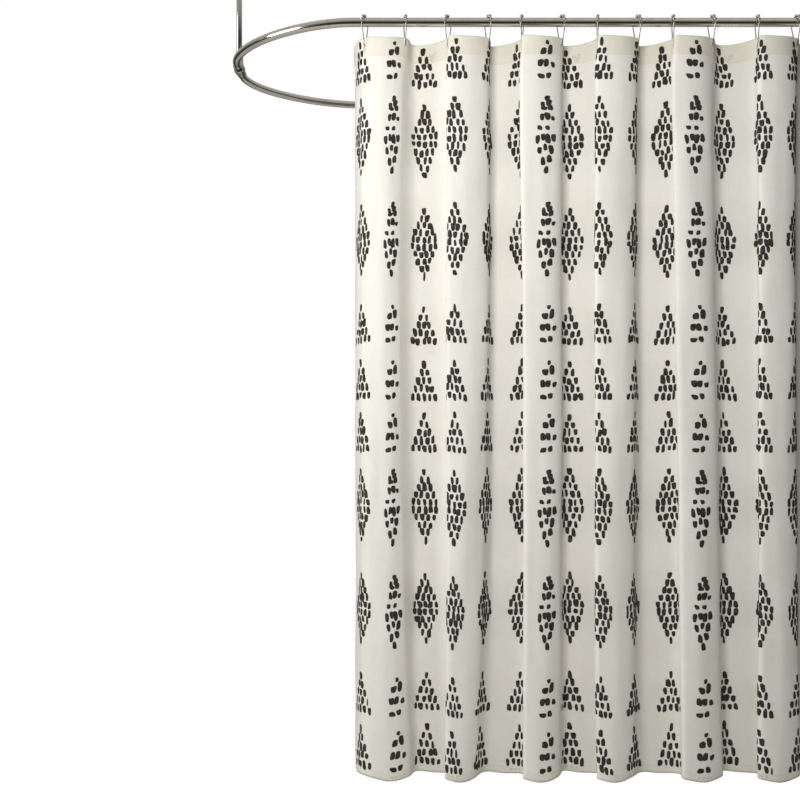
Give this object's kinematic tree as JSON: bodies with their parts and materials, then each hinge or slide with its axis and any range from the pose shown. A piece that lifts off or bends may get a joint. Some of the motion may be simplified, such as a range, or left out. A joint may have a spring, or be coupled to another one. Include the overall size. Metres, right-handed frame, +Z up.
{
  "type": "shower curtain",
  "caption": "Pleated cotton shower curtain with a block-printed pattern of small dabs, on roller rings that slide along an oval hoop rod hung from the ceiling.",
  "frame": {"origin": "centre of the left ceiling flange's upper face, where it meets the ceiling", "axes": "+Z up, X along the hoop's long side towards its right end, -Y towards the room, with the curtain on the front run at -Y"},
  "size_m": [1.944, 0.7391, 2.3145],
  "materials": {
    "rod_steel": "fine brushed grain along the tube",
    "fitting_steel": "satin turned and cast fittings",
    "ring_steel": "polished spring wire and balls",
    "screw_steel": "bright zinc steel",
    "cotton": "plain-weave ivory cotton printed with charcoal dabs",
    "hem_cotton": "turned and stitched ivory cotton"
  },
  "bodies": {
    "rod": {"rod_front_half": "rod_steel", "rod_back_half": "rod_steel", "drop_tube_left": "rod_steel", "drop_tube_right": "rod_steel", "ceiling_tee_left": "fitting_steel", "ceiling_tee_right": "fitting_steel", "rod_sleeve_left": "fitting_steel", "rod_sleeve_right": "fitting_steel", "ceiling_flange_left": "fitting_steel", "ceiling_flange_right": "fitting_steel", "tee_grub_screw_left": "screw_steel", "tee_grub_screw_right": "screw_steel", "flange_grub_screw_left": "screw_steel", "flange_grub_screw_right": "screw_steel", "ceiling_screw_left_1": "screw_steel", "ceiling_screw_left_2": "screw_steel", "ceiling_screw_left_3": "screw_steel", "ceiling_screw_right_1": "screw_steel", "ceiling_screw_right_2": "screw_steel", "ceiling_screw_right_3": "screw_steel"},
    "ring_01": {"ring_01": "ring_steel"},
    "ring_02": {"ring_02": "ring_steel"},
    "ring_03": {"ring_03": "ring_steel"},
    "ring_04": {"ring_04": "ring_steel"},
    "ring_05": {"ring_05": "ring_steel"},
    "ring_06": {"ring_06": "ring_steel"},
    "ring_07": {"ring_07": "ring_steel"},
    "ring_08": {"ring_08": "ring_steel"},
    "ring_09": {"ring_09": "ring_steel"},
    "ring_10": {"ring_10": "ring_steel"},
    "ring_11": {"ring_11": "ring_steel"},
    "ring_12": {"ring_12": "ring_steel"},
    "curtain": {"header_band": "hem_cotton", "curtain_panel": "cotton", "side_hem_left": "hem_cotton", "side_hem_right": "hem_cotton", "bottom_hem": "hem_cotton"}
  },
  "joints": [
    {"name": "curtain_travel", "type": "slide", "parent": "rod", "child": "ring_01", "axis": [1, 0, 0], "range_m": [-0.012, 0.07]},
    {"name": "curtain_draw", "type": "slide", "parent": "ring_01", "child": "ring_12", "axis": [1, 0, 0], "range_m": [-0.756, 0], "deforming": ["header_band", "curtain_panel", "side_hem_left", "side_hem_right", "bottom_hem"]},
    {"name": "ring_02_slide", "type": "slide", "parent": "ring_01", "child": "ring_02", "axis": [1, 0, 0], "range_m": [-0.0709, 0.0005]},
    {"name": "ring_03_slide", "type": "slide", "parent": "ring_01", "child": "ring_03", "axis": [1, 0, 0], "range_m": [-0.1461, 0.0005]},
    {"name": "ring_04_slide", "type": "slide", "parent": "ring_01", "child": "ring_04", "axis": [1, 0, 0], "range_m": [-0.2165, 0.0005]},
    {"name": "ring_05_slide", "type": "slide", "parent": "ring_01", "child": "ring_05", "axis": [1, 0, 0], "range_m": [-0.2763, 0.0005]},
    {"name": "ring_06_slide", "type": "slide", "parent": "ring_01", "child": "ring_06", "axis": [1, 0, 0], "range_m": [-0.3445, 0.0005]},
    {"name": "ring_07_slide", "type": "slide", "parent": "ring_01", "child": "ring_07", "axis": [1, 0, 0], "range_m": [-0.4086, 0.0005]},
    {"name": "ring_08_slide", "type": "slide", "parent": "ring_01", "child": "ring_08", "axis": [1, 0, 0], "range_m": [-0.4779, 0.0005]},
    {"name": "ring_09_slide", "type": "slide", "parent": "ring_01", "child": "ring_09", "axis": [1, 0, 0], "range_m": [-0.5409, 0.0005]},
    {"name": "ring_10_slide", "type": "slide", "parent": "ring_01", "child": "ring_10", "axis": [1, 0, 0], "range_m": [-0.6088, 0.0005]},
    {"name": "ring_11_slide", "type": "slide", "parent": "ring_01", "child": "ring_11", "axis": [1, 0, 0], "range_m": [-0.6886, 0.0005]},
    {"name": "curtain_swing", "type": "hinge", "parent": "ring_01", "child": "curtain", "pos_m": [0.371, -0.34, -0.48], "axis": [1, 0, 0], "range_deg": [-12, 12]}
  ],
  "couplings": [
    {"joint": "ring_02_slide", "follows": "curtain_draw", "ratio": 0.09306},
    {"joint": "ring_03_slide", "follows": "curtain_draw", "ratio": 0.19259},
    {"joint": "ring_04_slide", "follows": "curtain_draw", "ratio": 0.28565},
    {"joint": "ring_05_slide", "follows": "curtain_draw", "ratio": 0.36481},
    {"joint": "ring_06_slide", "follows": "curtain_draw", "ratio": 0.45509},
    {"joint": "ring_07_slide", "follows": "curtain_draw", "ratio": 0.53981},
    {"joint": "ring_08_slide", "follows": "curtain_draw", "ratio": 0.63148},
    {"joint": "ring_09_slide", "follows": "curtain_draw", "ratio": 0.71481},
    {"joint": "ring_10_slide", "follows": "curtain_draw", "ratio": 0.80463},
    {"joint": "ring_11_slide", "follows": "curtain_draw", "ratio": 0.91019}
  ]
}
